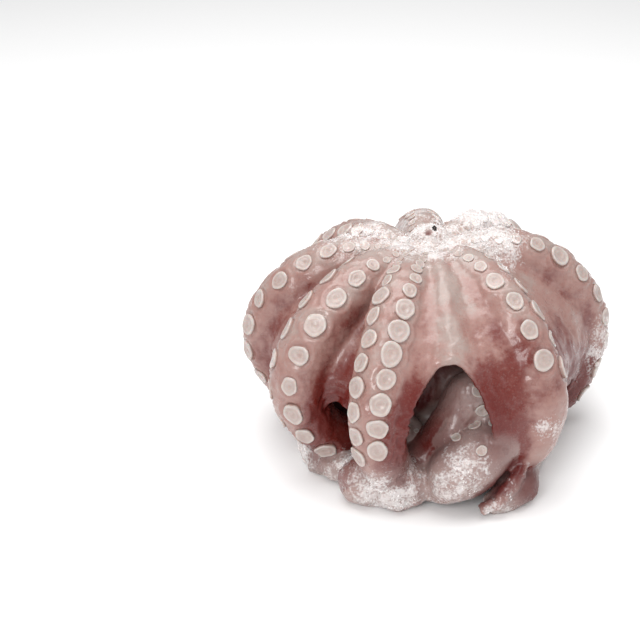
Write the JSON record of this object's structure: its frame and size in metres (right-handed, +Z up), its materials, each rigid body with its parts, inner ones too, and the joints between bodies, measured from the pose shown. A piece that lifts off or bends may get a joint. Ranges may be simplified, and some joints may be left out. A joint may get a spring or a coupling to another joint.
{
  "type": "whole octopus",
  "caption": "Whole raw octopus, frozen in a flower shape: arms arched down from the mouth, suckers outwards, tips rolled up under the body around the head.",
  "frame": {"origin": "on the surface it rests on, under the middle of the body's box", "axes": "+Z up, from the rolled arms to the mouth; the front, -Y, is the side where an arm's end rolls out through the arch of the web; +X to the right seen from the front"},
  "size_m": [0.2713, 0.2727, 0.1596],
  "materials": {
    "frozen_flesh": "moist frozen skin, pink between the arms and paler on them, with frost in patches"
  },
  "bodies": {
    "root": {"octopus": "frozen_flesh"}
  },
  "joints": []
}
